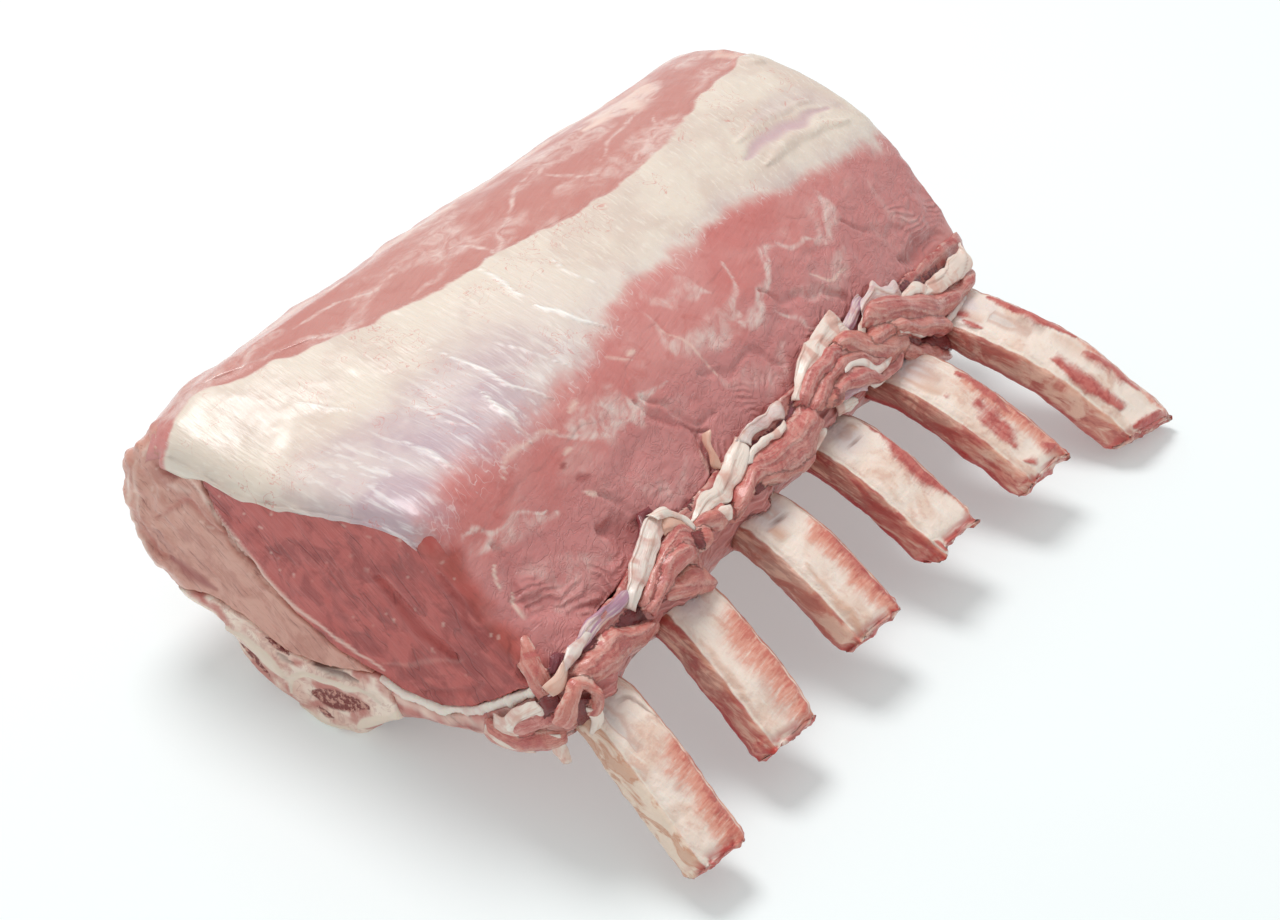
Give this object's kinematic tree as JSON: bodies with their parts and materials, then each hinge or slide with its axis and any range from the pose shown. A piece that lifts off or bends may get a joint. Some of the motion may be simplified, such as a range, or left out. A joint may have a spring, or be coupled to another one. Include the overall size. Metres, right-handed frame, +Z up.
{
  "type": "frenched rack",
  "caption": "Raw rack of pale pork: a loin on its ribs, fat side up, with the outer ends of the rib bones trimmed bare.",
  "frame": {"origin": "middle of the backbone's flat foot, on the surface that the rack rests on, half way along the rack", "axes": "+Y along the backbone from the near cut face to the far one, +X outwards along the ribs, +Z up"},
  "size_m": [0.1692, 0.205, 0.0749],
  "materials": {
    "cover_fat": "moist cream fat under a thin silvery skin",
    "lean_meat": "moist raw lean meat, pink, with fine fibres",
    "pale_meat": "moist raw lean meat, paler and coarser",
    "seam_fat": "thin white fat and skin between the muscles",
    "rib_meat": "moist ragged raw meat, darker in its folds",
    "backbone_bone": "sawn bone with red marrow, and thin skin over it",
    "rib_bone": "scraped cream bone with remains of meat on its edges"
  },
  "bodies": {
    "root": {"fat_cover": "cover_fat", "eye_muscle": "lean_meat", "inner_muscle": "pale_meat", "seam_fat": "seam_fat", "rib_layer": "rib_meat", "backbone": "backbone_bone", "rib_1": "rib_bone", "rib_2": "rib_bone", "rib_3": "rib_bone", "rib_4": "rib_bone", "rib_5": "rib_bone", "rib_6": "rib_bone"}
  },
  "joints": []
}
